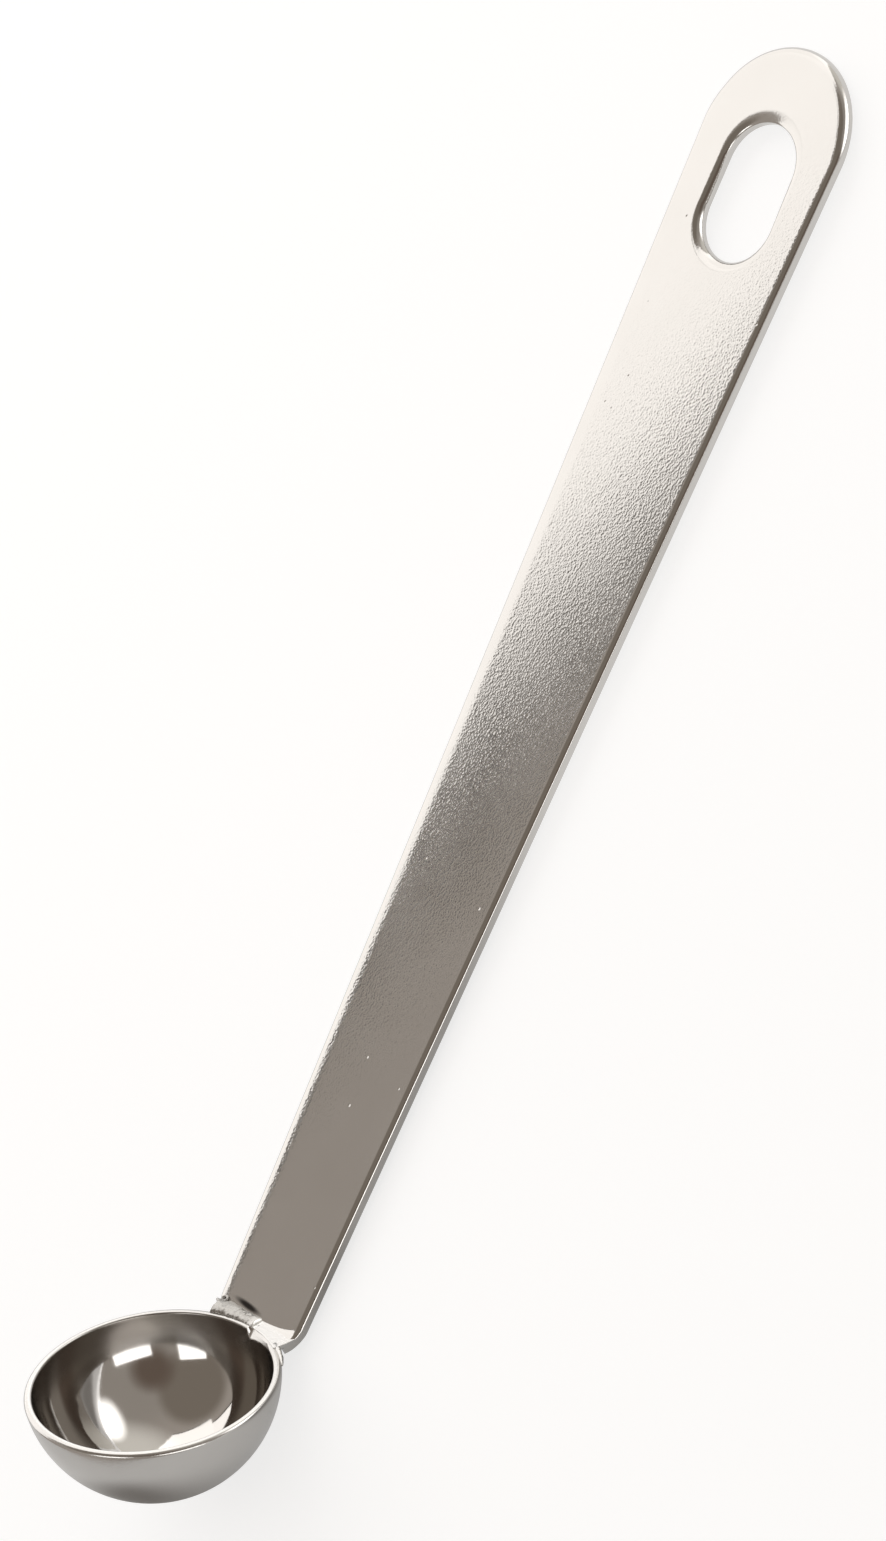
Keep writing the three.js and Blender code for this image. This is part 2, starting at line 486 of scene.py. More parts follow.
@dataclass(frozen=True)
class SatinSteel:
    """Tumbled strip: a granular satin with pits, worn edges and a dark streak painted as shade beside the
    weld.
    """

    name: str = "satin_steel"
    colour: Colour = (0.60, 0.585, 0.565)
    shade: Colour = (0.55, 0.535, 0.512)
    roughness: float = 0.07
    roughness_span: Point2 = (0.9, 1.1)
    edge_roughness: float = 0.13
    mottle_size: float = 9.0 * MM
    pebble_size: float = 0.29 * MM
    pebble_height: float = 0.0027 * MM
    grain_size: float = 0.2 * MM
    grain_height: float = 0.001 * MM
    pit_spacing: float = 3.4 * MM
    pit_reach: float = 0.06
    pit_depth: float = 0.03 * MM
    # Painted shade: a dark streak on the face along the weld's undercut.
    undercut_shade_colour: Colour = (0.05, 0.047, 0.045)
    undercut_shade_place: Vector = field(default_factory=lambda: Vector((-66.42, 2.1, 0.0)) * MM)
    undercut_shade_way: Vector = field(default_factory=lambda: Vector((0.112, 1.0, 0.0)).normalized())
    undercut_shade_reach: Point2 = (3.0 * MM, 0.55 * MM)
    undercut_shade_core: float = 0.3

    def material(self) -> bpy.types.Material:
        """Builds the material.

        Returns:
            The material.
        """
        graph = SteelGraph(self.name)
        mottle = graph.noise(self.mottle_size, detail=5.0)
        plain = graph.mix(mottle, self.shade, self.colour)
        # Paints the undercut's shade into the base colour as a dark streak.
        off_streak = graph.oval(self.undercut_shade_place, self.undercut_shade_way, self.undercut_shade_reach)
        shade_share = graph.spread(off_streak, self.undercut_shade_core, 1.0, 1.0, 0.0)
        graph.set("Base Color", graph.mix(shade_share, plain, self.undercut_shade_colour))
        face = graph.vary(mottle, self.roughness, self.roughness_span)
        graph.set("Roughness", graph.spread(graph.attribute("edge"), 0.0, 1.0, face, self.edge_roughness))
        pits = graph.spread(graph.spots(self.pit_spacing), 0.0, self.pit_reach, 0.0, 1.0)
        pebbled = graph.bump(graph.spots(self.pebble_size), self.pebble_height)
        grained = graph.bump(graph.noise(self.grain_size), self.grain_height, pebbled)
        graph.set("Normal", graph.bump(pits, self.pit_depth, grained))
        return graph.material


@dataclass(frozen=True)
class WeldSteel:
    """Weld metal: duller than the strip and lumpy, and brighter where it is ground."""

    name: str = "weld_steel"
    colour: Colour = (0.5, 0.49, 0.47)
    shade: Colour = (0.3, 0.285, 0.265)
    ground_colour: Colour = (0.6, 0.59, 0.575)
    roughness: float = 0.3
    roughness_span: Point2 = (0.7, 1.4)
    ground_roughness: float = 0.16
    lump_size: float = 0.7 * MM
    lump_height: float = 0.05 * MM
    ground_lump_height: float = 0.005 * MM
    grain_size: float = 0.16 * MM
    grain_height: float = 0.012 * MM

    def material(self) -> bpy.types.Material:
        """Builds the material.

        Returns:
            The material.
        """
        graph = SteelGraph(self.name)
        lump = graph.noise(self.lump_size, detail=3.0)
        grain = graph.noise(self.grain_size, detail=3.0)
        ground = graph.attribute("ground")
        welded = graph.mix(lump, self.shade, self.colour)
        graph.set("Base Color", graph.mix(ground, welded, self.ground_colour))
        rough = graph.vary(grain, self.roughness, self.roughness_span)
        graph.set("Roughness", graph.spread(ground, 0.0, 1.0, rough, self.ground_roughness))
        lumps = graph.spread(ground, 0.0, 1.0, self.lump_height, self.ground_lump_height)
        graph.set("Normal", graph.bump(grain, self.grain_height, graph.bump(lump, lumps)))
        return graph.material


class MeshMaker:
    """Collects points and faces of one piece, where equal points become one."""

    def __init__(self) -> None:
        """Starts an empty mesh."""
        self.bm = bmesh.new()
        self._at: dict[tuple[int, int, int], Vert] = {}
        self.values: dict[int, dict[str, object]] = {}

    def point(self, place: Vector, **values: object) -> Vert:
        """The vertex at a place, made where there is none yet.

        Args:
            place: Where it lies.
            values: Attribute values of a new vertex.

        Returns:
            The vertex.
        """
        key = tuple(round(c / MERGE) for c in place)
        if key not in self._at:
            made = self.bm.verts.new(place)
            self.values[len(self._at)] = values
            self._at[key] = made
        return self._at[key]

    def face(self, *corners: Vert) -> None:
        """Adds a face, without corners that fall together.

        Args:
            corners: Its vertices in turn.
        """
        distinct = list(dict.fromkeys(corners))
        if len(distinct) > 2:
            self.bm.faces.new(distinct)

    def grid(self, rows: list[list[Vert]], closed: bool = False) -> None:
        """Adds quads between rows of points.

        Args:
            rows: Rows of the same length.
            closed: Whether each row runs round to its start.
        """
        width = len(rows[0])
        for near, far in zip(rows, rows[1:]):
            for k in range(width if closed else width - 1):
                n = (k + 1) % width
                self.face(near[k], near[n], far[n], far[k])

    def fill(self, *loops: list[Vert]) -> None:
        """Fills a flat outline, with a hole for each further one.

        Args:
            loops: The outlines, as closed rows of points.
        """
        edges = []
        for loop in loops:
            for a, b in zip(loop, loop[1:] + loop[:1]):
                edges.append(self.bm.edges.get((a, b)) or self.bm.edges.new((a, b)))
        bmesh.ops.triangle_fill(self.bm, use_beauty=True, edges=edges)

    def piece(self, name: str, kinds: dict[str, str], sharp: float) -> bpy.types.Object:
        """Turns what was collected into an object with its attributes.

        Args:
            name: The object's name.
            kinds: Each attribute's name and data type.
            sharp: The angle above which an edge stays sharp.

        Returns:
            The object, at the origin.
        """
        bmesh.ops.recalc_face_normals(self.bm, faces=self.bm.faces)
        mesh = bpy.data.meshes.new(name)
        self.bm.to_mesh(mesh)
        self.bm.free()
        for key, kind in kinds.items():
            layer = mesh.attributes.new(key, kind, "POINT")
            for index, values in self.values.items():
                value = values.get(key, 0.0)
                if kind == "FLOAT":
                    layer.data[index].value = value
                else:
                    layer.data[index].vector = value
        mesh.shade_smooth()
        mesh.set_sharp_from_angle(angle=sharp)
        return link(bpy.data.objects.new(name, mesh))


def link(made: bpy.types.Object) -> bpy.types.Object:
    """Puts an object into the scene.

    Args:
        made: The object.

    Returns:
        The same object.
    """
    bpy.context.scene.collection.objects.link(made)
    return made


def oblong(width: float, height: float) -> list[Vector]:
    """The corners of a flat oblong about the origin."""
    return [Vector((x * width / 2, y * height / 2, 0.0)) for x, y in ((-1, -1), (1, -1), (1, 1), (-1, 1))]


def sheet(
    name: str,
    corners: list[Vector],
    material: bpy.types.Material,
    place: Matrix | None = None,
    hidden_from: tuple[Ray, ...] = (),
) -> bpy.types.Object:
    """Adds a flat sheet that belongs to the stage, not to the ladle.

    Args:
        name: The sheet's name.
        corners: Its four corners in turn.
        material: Its finish.
        place: Where it stands, or nothing for the origin.
        hidden_from: The rays that don't see it.

    Returns:
        The sheet.
    """
    mesh = bpy.data.meshes.new(name)
    mesh.from_pydata(corners, [], [(0, 1, 2, 3)])
    mesh.materials.append(material)
    made = link(bpy.data.objects.new(name, mesh))
    if place is not None:
        made.matrix_world = place
    for ray in hidden_from:
        setattr(made, ray.value, False)
    return made


def dress(piece: bpy.types.Object, material: bpy.types.Material, node: Node) -> None:
    """Gives a piece its finish, and lets it stand for its CAD node.

    Args:
        piece: The piece.
        material: Its finish.
        node: The CAD node.
    """
    piece.data.materials.clear()
    piece.data.materials.append(material)
    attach(piece, "root")
    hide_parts(node.value)


@dataclass
class Bowl:
    """The pressed bowl: a round cap with an even wall and a rounded rim."""

    sizes: LadleSizes
    finish: PolishedSteel = field(default_factory=PolishedSteel)
    sides: int = 360
    arc_steps: int = 80
    round_steps: int = 10
    ground_depth: float = 1.0 * MM
    ground_top: float = 0.25 * MM
    ground_span: Point2 = (math.radians(2.0), math.radians(29.0))
    ground_start: float = math.radians(1.2)
    ground_inside: float = 0.5
    sharp: float = math.radians(30.0)

    def _ground(self, radius: float, height: float, turn: float) -> float:
        """The height of a point of the rim after the joint is ground flush.

        Args:
            radius: The point's distance from the bowl's axis.
            height: Its height over the rim's plane.
            turn: Its turn about the axis from the handle.

        Returns:
            The height, lowered to the ground slope where the point stands over it.
        """
        s = self.sizes
        past = (-turn - self.ground_span[0]) / (self.ground_span[1] - self.ground_span[0])
        if not 0.0 < past < 1.0 or radius > s.rim_radius - self.ground_top:
            return height
        full = min(past * (self.ground_span[1] - self.ground_span[0]) / self.ground_start, 1.0)
        depth = self.ground_depth * full * (1.0 - past)
        inner = s.rim_radius - s.bowl_wall
        slope = self.ground_depth / (s.bowl_wall - self.ground_top)
        return min(height, slope * (radius - inner) - depth) if height > -self.ground_depth else height

    def _profile(self) -> list[tuple[float, float, float]]:
        """The wall's section from the outer pole over the rim to the inner pole.

        Returns:
            The points: radius, height, and how far each counts as the bowl's inside.
        """
        s = self.sizes
        inner = s.sphere_radius - s.bowl_wall
        outer_z = -s.rim_outer_round - s.sphere_above_rim
        inner_z = -s.rim_inner_round - s.sphere_above_rim
        outer_x = math.sqrt((s.sphere_radius - s.rim_outer_round) ** 2 - outer_z**2)
        inner_x = math.sqrt((inner + s.rim_inner_round) ** 2 - inner_z**2)
        outer_turn = math.atan2(outer_z, outer_x)
        inner_turn = math.atan2(inner_z, inner_x)

        def arc(
            x: float, z: float, radius: float, start: float, end: float, steps: int, inside: Point2
        ) -> list[tuple[float, float, float]]:
            """Points along an arc.

            Args:
                x: The centre's distance from the bowl's axis.
                z: Its height.
                radius: The arc's radius.
                start: Where it starts, as a turn.
                end: Where it ends.
                steps: How many steps it has.
                inside: How far its ends count as the bowl's inside.

            Returns:
                The points: radius, height, inside.
            """
            made = []
            for i in range(steps + 1):
                share = i / steps
                turn = start + (end - start) * share
                side = inside[0] + (inside[1] - inside[0]) * share
                made.append((x + radius * math.cos(turn), z + radius * math.sin(turn), side))
            return made

        down, up = -math.pi / 2, math.pi / 2
        centre, steps, few = s.sphere_above_rim, self.arc_steps, self.round_steps
        outer_round, inner_round = s.rim_outer_round, s.rim_inner_round
        return (
            arc(0.0, centre, s.sphere_radius, down, outer_turn, steps, (0.0, 0.0))
            + arc(outer_x, -outer_round, outer_round, outer_turn, up, few, (0.0, RIM_INSIDE))
            + arc(inner_x, -inner_round, inner_round, up, math.pi + inner_turn, few, (RIM_INSIDE, 1.0))
            + arc(0.0, centre, inner, inner_turn, down, steps, (1.0, 1.0))
        )

    def build(self) -> bpy.types.Object:
        """Spins the wall's section about the bowl's axis.

        Returns:
            The bowl, in place.
        """
        maker = MeshMaker()
        place = self.sizes.rim_frame
        rows = []
        for radius, height, inside in self._profile():
            row = []
            for k in range(self.sides):
                turn = 2 * math.pi * k / self.sides
                turn = turn - 2 * math.pi if turn > math.pi else turn
                around = Vector((math.cos(turn), math.sin(turn), 0.0))
                level = self._ground(radius, height, turn)
                worn = min(inside, self.ground_inside) if level < height else inside
                local = around * (radius if radius > MERGE else 0.0) + Vector((0.0, 0.0, level))
                draw = (around.x, around.y, height / self.sizes.bowl_depth)
                row.append(maker.point(place @ local, inside=worn, draw=draw))
            rows.append(row)
        maker.grid(rows, closed=True)
        return maker.piece("bowl_polished", {"inside": "FLOAT", "draw": "FLOAT_VECTOR"}, self.sharp)

    def make(self) -> bpy.types.Object:
        """Builds and dresses the bowl.

        Returns:
            The bowl.
        """
        piece = self.build()
        dress(piece, self.finish.material(), Node.BOWL)
        return piece


class Level(NamedTuple):
    """A row of points over an edge of the strip.

    Attributes:
        roll: The part of its distance from the outline that grows with the width of the roll.
        rest: The rest of that distance.
        height: Its height over the front face.
        crown: How much lower it lies where the edge is crowned.
        worn: 1 where the edge is worn bright.
    """

    roll: float = 0.0
    rest: float = 0.0
    height: float = 0.0
    crown: float = 0.0
    worn: float = 0.0


class Spot(NamedTuple):
    """A point of the strip's section.

    Attributes:
        side: 1 on the left edge, -1 on the right edge, 0 on the flat faces.
        share: Where on a flat face it lies, from 1 on the left to -1 on the right.
        inset: Its distance from the outline.
        height: Its height over the front face.
        worn: 1 where the edge is worn bright.
    """

    side: float
    share: float
    inset: float
    height: float
    worn: float


class Edge(NamedTuple):
    """A point of an outline of the flat strip.

    Attributes:
        along: Its place along the strip.
        across: Its place across the strip.
        out_along: How far the way out of the outline runs along the strip.
        out_across: How far that way runs across the strip.
        width: The width of the roll there, against the plain one.
        crowned: How much of the crown the edge has there.
        rolled: How much of an even roll the edge has there.
    """

    along: float
    across: float
    out_along: float
    out_across: float
    width: float = 1.0
    crowned: float = 0.0
    rolled: float = 0.0


@dataclass
class Handle:
    """The strip: tapered, round-ended and slotted, its lower end folded up and cut to the rim's curve."""

    sizes: LadleSizes
    finish: SatinSteel = field(default_factory=SatinSteel)
    columns: int = 24
    fold_rows: int = 40
    end_steps: int = 120
    slot_steps: int = 64
    round_steps: int = 12
    cut_steps: int = 40
    support: float = 0.12 * MM
    crown_width: float = 2.0 * MM
    crown_tilt: float = math.radians(1.6)
    crown_steps: int = 6
    corner_inset: float = 0.75 * MM
    corner_drop: float = 0.4 * MM
    rolled_span: Point2 = (math.radians(92.0), math.radians(70.0))
    slot_side_roll: float = 0.75
    slot_end_roll: float = 1.3
    slot_drop: float = 0.45 * MM
    tight_fold: float = 0.3 * MM
    wide_fold: float = 3.3 * MM
    fold_growth: float = 6.0
    fold_reach: float = 1.1 * MM
    reach_rows: int = 8
    sharp: float = math.radians(40.0)

    @property
    def end_centre(self) -> float:
        """The centre of the round end, along the strip from the fold."""
        s = self.sizes
        return s.handle_length - s.fold_tangent - s.end_width / 2

    @property
    def taper(self) -> float:
        """The lean of each side.

        Returns:
            The angle.
        """
        s = self.sizes
        half = s.root_width / 2
        reach = math.hypot(half, self.end_centre)
        return math.atan2(self.end_centre, half) - math.acos(s.end_width / 2 / reach)

    @property
    def _quarter(self) -> list[float]:
        """The turns of a quarter round."""
        return [math.pi / 2 * i / self.round_steps for i in range(self.round_steps + 1)]

    def _rolled(self, inset: float, drop: float) -> list[Level]:
        """The rows of a roll, from the face to the side.

        Args:
            inset: How far it reaches into the face.
            drop: How far it reaches down the side.

        Returns:
            The rows.
        """
        turns = self._quarter
        return [Level(inset * (1 - math.sin(a)), 0.0, drop * (math.cos(a) - 1), worn=1.0) for a in turns]

    def _run_up(self, inset: float) -> list[Level]:
        """Flat rows from the crown's start to where a roll of that inset starts."""
        step = (self.crown_width - inset) / self.crown_steps
        return [Level(self.crown_width - step * i) for i in range(self.crown_steps)]

    def _over_edge(self, front: list[Level]) -> list[Level]:
        """A whole edge from the front face to the back face.

        Args:
            front: The rows of its front.

        Returns:
            The rows of the edge, with a row on each face that supports it.
        """
        small, under = self.sizes.back_round, -self.sizes.thickness
        back = []
        for turn in self._quarter:
            inset, rise = small * (1 - math.cos(turn)), small * (1 - math.sin(turn))
            back.append(Level(0.0, inset, under + rise, worn=1.0))
        return [Level(front[0].roll, self.support), *front, *back, Level(0.0, small + self.support, under)]

    def _side_levels(self) -> list[Level]:
        """The edge of the strip's sides: a crown that falls away gently, and a flat corner.

        Returns:
            The rows.
        """
        corner = self._rolled(self.corner_inset, self.corner_drop)
        corner[0] = corner[0]._replace(worn=0.0)
        curve = self.crown_tilt / (2 * (self.crown_width - self.corner_inset))
        rows = self._run_up(self.corner_inset) + corner
        front = [row._replace(crown=curve * (self.crown_width - row.roll) ** 2) for row in rows]
        return self._over_edge(front)

    def _end_levels(self) -> list[Level]:
        """The edge of the round end: an even roll, with as many rows as the sides have."""
        roll = self.sizes.front_round
        return self._over_edge(self._run_up(roll) + self._rolled(roll, roll))

    def _slot_levels(self, drop: float) -> list[Level]:
        """The slot's edge: a roll that falls by the drop."""
        return self._over_edge(self._rolled(self.sizes.front_round, drop))

    def _folded(self, along: float, across: float, height: float) -> Vector:
        """Where a point of the flat strip goes when its lower end is folded up, tighter under the bead.

        Args:
            along: Its place along the strip, from the fold.
            across: Its place across the strip.
            height: Its height over the front face.

        Returns:
            The place.
        """
        s = self.sizes
        share = min(max(0.5 - across / s.root_width, 0.0), 1.0)
        fold = self.tight_fold + (self.wide_fold - self.tight_fold) * share**self.fold_growth
        flat = s.fold_tangent - fold * math.tan(s.angle / 2)
        length = (fold + s.thickness / 2) * s.angle
        into_fold = -along - flat
        turn = min(max(into_fold / length, 0.0), 1.0) * s.angle
        tab = max(into_fold - length, 0.0)
        radius = fold - height
        return Vector(
            (
                s.handle_start + max(along, -flat) - radius * math.sin(turn) - tab * math.cos(s.angle),
                across,
                s.handle_front + fold - radius * math.cos(turn) + tab * math.sin(s.angle),
            )
        )

    def _section(self) -> list[Spot]:
        """The strip's closed section, with its left edge crowned.

        Returns:
            The points, from the front face over the right edge and the back to the left edge.
        """
        levels = self._side_levels()
        edge = levels[1:-1]
        shares = [1.0 - 2.0 * j / self.columns for j in range(self.columns + 1)]

        def spot(side: float, share: float, level: Level) -> Spot:
            """The point of a level on a side or a face."""
            height = level.height - level.crown * max(side, 0.0)
            return Spot(side, share, level.roll + level.rest, height, level.worn)

        front = [spot(0.0, share, levels[0]) for share in shares]
        right = [spot(-1.0, 0.0, level) for level in edge]
        back = [spot(0.0, -share, levels[-1]) for share in shares]
        left = [spot(1.0, 0.0, level) for level in reversed(edge)]
        return front + right + back + left

    def _on_strip(self, along: float, spot: Spot) -> Vector:
        """Where a point of the section goes at a station of the strip.

        Args:
            along: The station.
            spot: The point of the section.

        Returns:
            The place.
        """
        s = self.sizes
        half = s.root_width / 2 + along * math.tan(self.taper) + min(along, 0.0) * math.tan(s.tab_taper)
        across = (spot.side or spot.share) * (half - spot.inset * math.cos(self.taper))
        return self._folded(along + spot.inset * math.sin(self.taper), across, spot.height)

    def _tab_end(self, spot: Spot) -> float:
        """How far along the strip a point of the section meets the cut that follows the rim.

        Args:
            spot: The point of the section.

        Returns:
            The station of the cut.
        """
        to_rim = self.sizes.rim_frame.inverted()
        low, high = -self.sizes.root_width, self.sizes.fold_radius
        for _ in range(self.cut_steps):
            middle = (low + high) / 2
            local = to_rim @ self._on_strip(middle, spot)
            if math.hypot(local.x, local.y) < self.sizes.tab_end_radius:
                low = middle
            else:
                high = middle
        return high

    def _outline(self) -> list[Edge]:
        """The strip's outline, from the fold along the right side and round the end to the left side.

        Returns:
            The points.
        """
        s = self.sizes
        lean = self.taper
        radius = s.end_width / 2
        half = s.root_width / 2 + self.fold_reach * math.tan(lean)
        turn_end = math.pi / 2 + lean
        none, full = self.rolled_span
        made = [Edge(self.fold_reach, -half, -math.sin(lean), -math.cos(lean))]
        for i in range(self.end_steps + 1):
            turn = turn_end * (2 * i / self.end_steps - 1)
            out = (math.cos(turn), math.sin(turn))
            rolled = min(max((none - abs(turn)) / (none - full), 0.0), 1.0)
            spot = (self.end_centre + radius * out[0], radius * out[1])
            made.append(Edge(*spot, *out, crowned=i / self.end_steps, rolled=rolled))
        made.append(Edge(self.fold_reach, half, -math.sin(lean), math.cos(lean), crowned=1.0))
        return made

    def _slot_outline(self) -> list[Edge]:
        """The slot's outline, with a wider roll at its ends and an even one at the lower end.

        Returns:
            The points.
        """
        s = self.sizes
        half = s.slot_width / 2
        reach = s.slot_length / 2 - half
        centre = s.handle_length - s.fold_tangent - s.slot_from_end
        made = []
        for end, start in ((1.0, -math.pi / 2), (-1.0, math.pi / 2)):
            for i in range(self.slot_steps + 1):
                turn = start + math.pi * i / self.slot_steps
                out = (math.cos(turn), math.sin(turn))
                spot = (centre + end * reach + half * out[0], half * out[1])
                width = self.slot_side_roll + (self.slot_end_roll - self.slot_side_roll) * abs(out[0])
                made.append(Edge(*spot, *out, width, rolled=max(-end, 0.0)))
        return made

    def _edge_rows(
        self, maker: MeshMaker, outline: list[Edge], levels: list[Level], even: list[Level], way: float
    ) -> list[list[Vert]]:
        """Adds the points over an edge.

        Args:
            maker: The handle's mesh.
            outline: The outline's points.
            levels: The rows where the edge has no even roll.
            even: The rows where it has one.
            way: 1 for the strip's own outline, -1 for a hole's.

        Returns:
            A row of points for each level.
        """
        rows = []
        for plain, rolled in zip(levels, even):
            row = []
            for edge in outline:
                level = Level(*(a + (b - a) * edge.rolled for a, b in zip(plain, rolled)))
                inset = way * (level.roll * edge.width + level.rest)
                along = edge.along - inset * edge.out_along
                across = edge.across - inset * edge.out_across
                height = level.height - level.crown * edge.crowned
                row.append(maker.point(self._folded(along, across, height), edge=level.worn))
            rows.append(row)
        return rows

    def _folded_end(self, maker: MeshMaker) -> list[Vert]:
        """Builds the fold and the tab from rows across the strip.

        Args:
            maker: The handle's mesh.

        Returns:
            The row where the straight part starts.
        """
        section = self._section()
        ends = [self._tab_end(spot) for spot in section]
        rows = []
        for i in range(self.fold_rows + self.reach_rows + 1):
            up = max(1 - i / self.fold_rows, 0.0)
            out = max(i - self.fold_rows, 0) / self.reach_rows
            row = []
            for spot, end in zip(section, ends):
                along = end * up + self.fold_reach * out
                row.append(maker.point(self._on_strip(along, spot), edge=spot.worn))
            rows.append(row)
        maker.grid(rows, closed=True)
        self._close_tab(maker, rows[0])
        return rows[-1]

    def build(self) -> bpy.types.Object:
        """Builds the folded end, and the straight part from its outlines.

        Returns:
            The handle, in place.
        """
        maker = MeshMaker()
        start = self._folded_end(maker)
        levels = self._side_levels()
        outside = self._edge_rows(maker, self._outline(), levels, self._end_levels(), 1.0)
        maker.grid(outside)
        flatter, even = self._slot_levels(self.slot_drop), self._slot_levels(self.sizes.front_round)
        slot = self._edge_rows(maker, self._slot_outline(), flatter, even, -1.0)
        maker.grid(slot, closed=True)
        front_row = start[1 : self.columns]
        back_start = self.columns + len(levels) - 1
        back_row = start[back_start + 1 : back_start + self.columns]
        maker.fill(outside[0] + front_row, list(dict.fromkeys(slot[0])))
        maker.fill(outside[-1] + back_row[::-1], list(dict.fromkeys(slot[-1])))
        return maker.piece("handle_satin", {"edge": "FLOAT"}, self.sharp)

    def _close_tab(self, maker: MeshMaker, ring: list[Vert]) -> None:
        """Closes the tab's cut end.

        Args:
            maker: The handle's mesh.
            ring: The row of points round the cut.
        """
        n = self.columns + 1
        rounds = (len(ring) - 2 * n) // 2
        front = ring[:n]
        right = ring[n : n + rounds]
        back = ring[n + rounds : 2 * n + rounds][::-1]
        left = ring[2 * n + rounds :][::-1]
        for a in range(self.columns):
            maker.face(front[a + 1], front[a], back[a], back[a + 1])
        for corner, side in ((n - 1, right), (0, left)):
            upper = [front[corner]] + side[: rounds // 2]
            lower = [back[corner]] + side[rounds // 2 :][::-1]
            for a in range(len(upper) - 1):
                maker.face(upper[a], upper[a + 1], lower[a + 1], lower[a])

    def make(self) -> bpy.types.Object:
        """Builds and dresses the handle.

        Returns:
            The handle.
        """
        piece = self.build()
        dress(piece, self.finish.material(), Node.HANDLE)
        return piece


class WeldTree(NodeGraph):
    """A node tree that lays the weld about the bowl's axis: a flush fill, a bead, a crater and a tail."""

    ARC_POINTS: int = 260
    OVAL_POINTS: int = 28
    CRATER_POINTS: int = 40
    LUMP_DETAIL: float = 2.0
    GROUND_SPAN: Point2 = (0.6 * MM, -1.2 * MM)
    GROUND_TOP: float = 0.05 * MM
    WELDED_TOP: float = 1.0 * MM
    FILL_SWEEP: float = 1.9
    FILL_OVERLAP: float = 1.1 * MM
    FILL_ENDS: float = 60.0
    FILL_HEIGHT: float = 12.0
    FILL_GRAIN: float = 0.03 * MM
    FILL_LUMPS: float = 0.8 * MM
    BEAD_SPAN: Point2 = (-1.5 * MM, 6.0 * MM)
    BEAD_SHARES: Point2 = (0.1, 0.95)
    BEAD_LEAD: float = 0.1
    BEAD_ENDS: float = 6.0
    BEAD_LUMPS: float = 0.6 * MM
    CRATER_THICKNESS: float = 1.1
    CRATER_OUT: float = 0.15 * MM
    CRATER_ASIDE: float = 0.8
    CRATER_RISE: float = 0.4 * MM
    CRATER_TILT: float = -0.42
    CRATER_UNEVEN: float = 0.6
    CRATER_LUMPS: float = 0.5 * MM
    TAIL_OVERLAP: float = 0.06
    TAIL_ENDS: float = 30.0
    TAIL_HEIGHT: float = 1.3
    TAIL_UNEVEN: float = 0.7
    TAIL_LUMPS: float = 0.9 * MM

    def __init__(self, name: str, values: dict[str, object]) -> None:
        """Builds the tree.

        Args:
            name: The tree's name.
            values: A value for each of its named inputs.
        """
        super().__init__(bpy.data.node_groups.new(name, "GeometryNodeTree"))
        self.values = values
        self.tree.interface.new_socket("Geometry", in_out="OUTPUT", socket_type="NodeSocketGeometry")
        self.sockets = {label: self._input(label, value) for label, value in values.items()}
        self.given = self.tree.nodes.new("NodeGroupInput").outputs
        self._build()

    def _input(self, label: str, value: object) -> str:
        """Adds a named input for a number or a material, and gives its identifier."""
        kind = "NodeSocketFloat" if isinstance(value, float) else "NodeSocketMaterial"
        return self.tree.interface.new_socket(label, in_out="INPUT", socket_type=kind).identifier

    def _vector(self, x: object, y: object, z: object) -> Socket:
        """A vector from its parts."""
        return self.node("ShaderNodeCombineXYZ", {0: x, 1: y, 2: z}).outputs[0]

    def _scaled(self, vector: Socket, scale: object) -> Socket:
        """A vector times a number."""
        inputs = {0: vector, "Scale": scale}
        return self.node("ShaderNodeVectorMath", inputs, operation="SCALE").outputs["Vector"]

    def _place(self) -> Socket:
        """Where each point lies."""
        return self.node("GeometryNodeInputPosition").outputs["Position"]

    def _parts(self) -> bpy.types.bpy_prop_collection:
        """Where each point lies along each axis."""
        return self.node("ShaderNodeSeparateXYZ", {0: self._place()}).outputs

    def _run(self, measure: str) -> Socket:
        """How far along its path each point lies, as a Factor or a Length."""
        return self.node("GeometryNodeSplineParameter").outputs[measure]

    def _moved(self, mesh: Socket, **change: Socket) -> Socket:
        """Gives the points of a mesh or path a new Position or an Offset."""
        return self.node("GeometryNodeSetPosition", {"Geometry": mesh, **change}).outputs["Geometry"]

    def _turned(self, mesh: Socket, **change: object) -> Socket:
        """Gives a whole mesh or path a Translation, a Rotation or a Scale."""
        return self.node("GeometryNodeTransform", {"Geometry": mesh, **change}).outputs["Geometry"]

    def _ring(self, points: int, radius: object) -> Socket:
        """A closed round path."""
        inputs = {"Resolution": points, "Radius": radius}
        return self.node("GeometryNodeCurvePrimitiveCircle", inputs).outputs["Curve"]

    def _arc(self, start: object, sweep: object) -> Socket:
        """An arc of the rim.

        Args:
            start: Where it starts, as an angle from the handle.
            sweep: How far it runs.

        Returns:
            The arc.
        """
        rim = {"Resolution": self.ARC_POINTS, "Radius": self.given["Rim Radius"]}
        span = {"Start Angle": start, "Sweep Angle": sweep}
        return self.node("GeometryNodeCurveArc", rim | span).outputs["Curve"]

    def _upright(self, path: Socket) -> Socket:
        """Keeps what is swept along a path upright."""
        return self.node("GeometryNodeSetCurveNormal", {"Curve": path}, mode="Z_UP").outputs[0]

    def _room(self) -> Socket:
        """The room between the rim and the fold, measured outwards at each point of an arc.

        Returns:
            The room.
        """
        away = self.node("ShaderNodeVectorMath", {0: self._place()}, operation="LENGTH").outputs["Value"]
        lean = self.over(self._parts()["X"], away)
        return self.less(self.over(self.given["Fold Reach"], lean), self.given["Rim Radius"])

